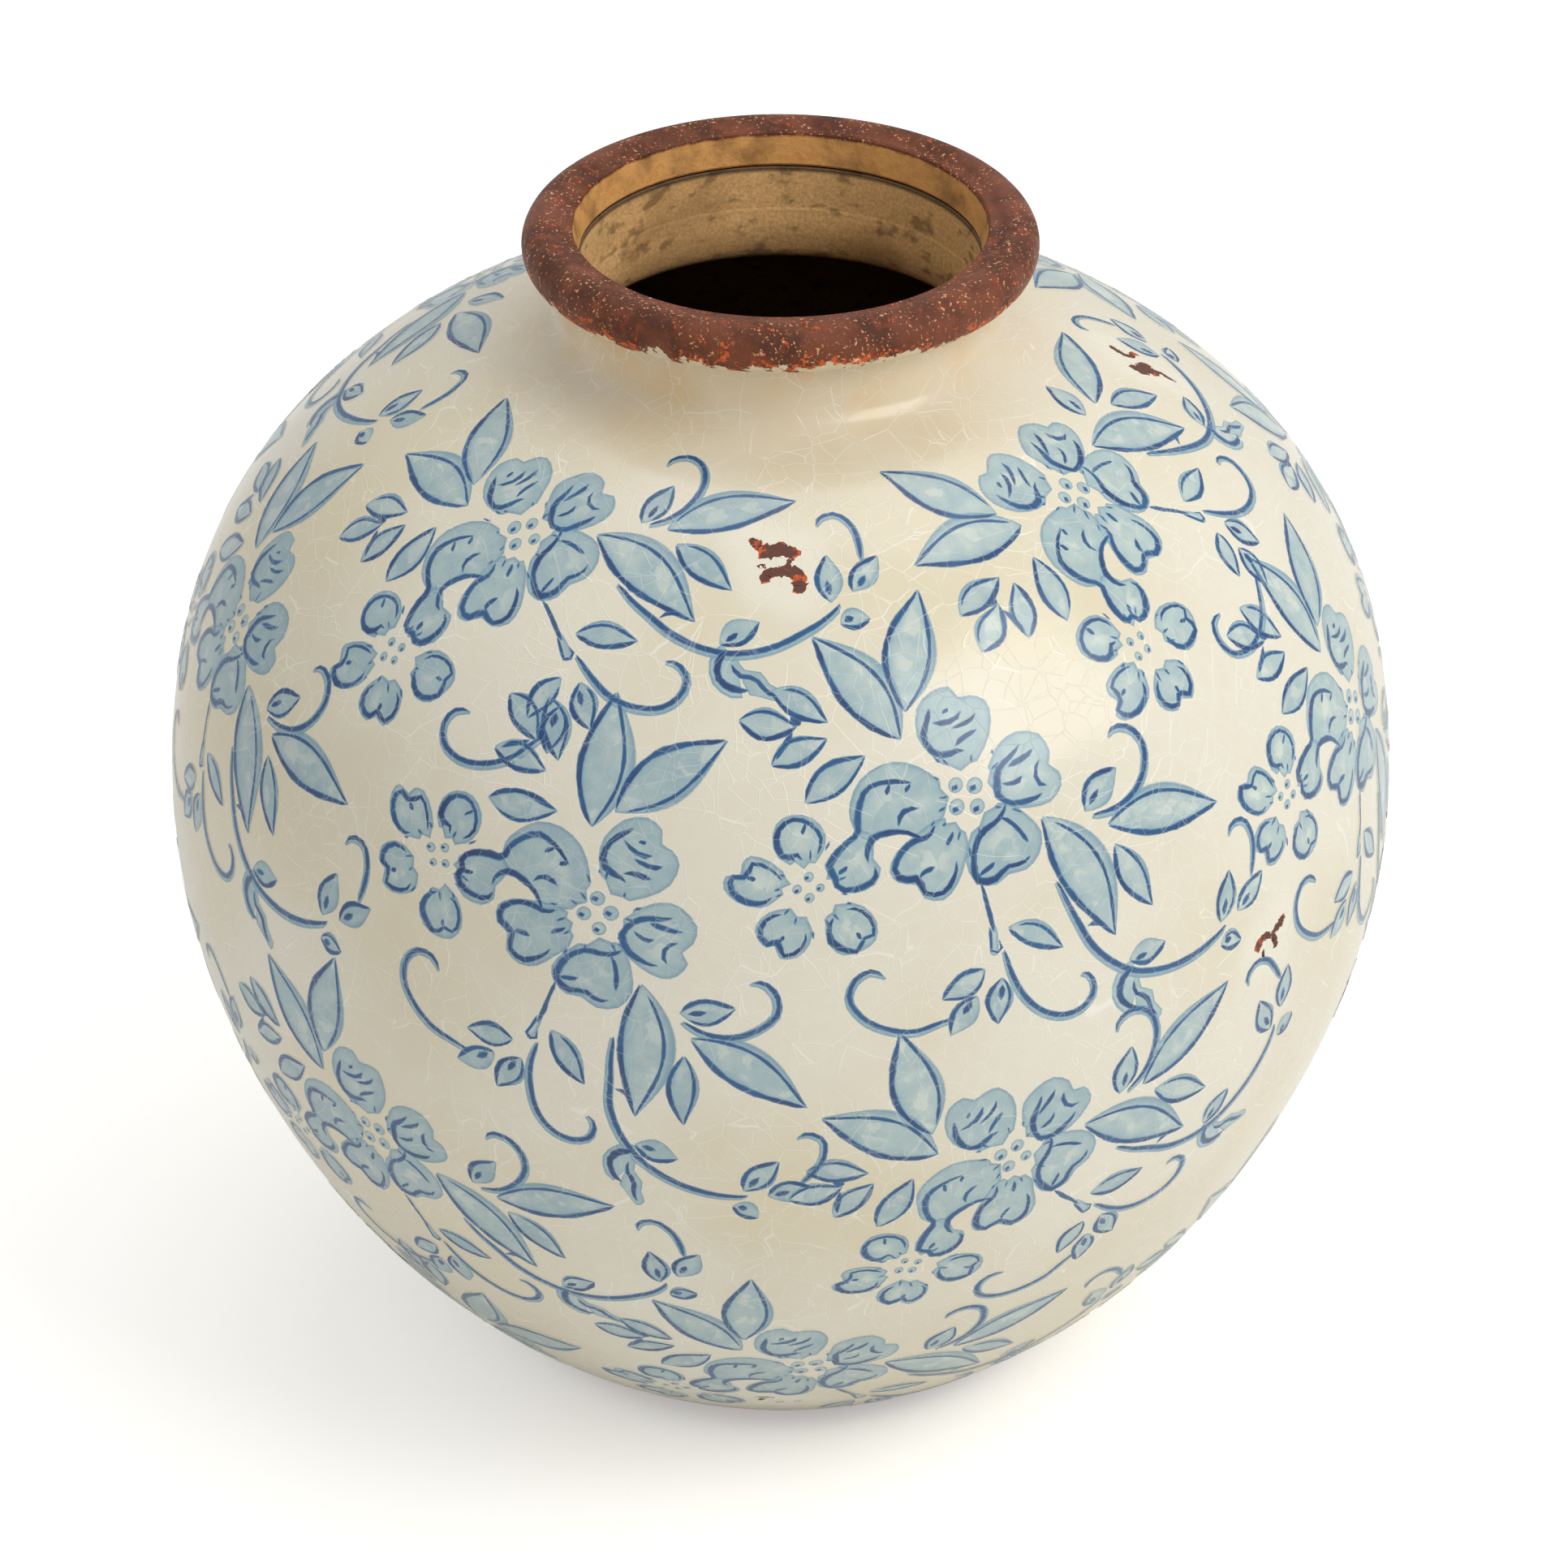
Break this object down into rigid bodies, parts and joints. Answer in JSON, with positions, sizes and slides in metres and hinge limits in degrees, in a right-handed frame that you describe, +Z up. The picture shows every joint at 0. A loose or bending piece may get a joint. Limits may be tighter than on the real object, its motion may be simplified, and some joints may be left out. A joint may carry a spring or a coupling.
{
  "type": "ball vase",
  "caption": "Ball-shaped pottery vase with a short neck, a rolled lip and a low foot ring, for cut flowers or standing empty on a shelf.",
  "frame": {"origin": "centre of the foot ring's underside, on the surface that the vase stands on", "axes": "+Z up along the vase's axis of revolution; -Y faces the viewer, +X to the right"},
  "size_m": [0.25, 0.25, 0.2496],
  "materials": {
    "terracotta": "fired earthenware, matt, buff wash inside",
    "brown_slip": "worn brown slip over orange clay, satin",
    "crackle_glaze": "glossy cream crackle glaze with blue painted flowers"
  },
  "bodies": {
    "root": {"foot_ring": "terracotta", "lower_bowl": "terracotta", "upper_bowl": "terracotta", "neck_collar": "terracotta", "lip_ring": "brown_slip", "glaze_coat": "crackle_glaze"}
  },
  "joints": []
}
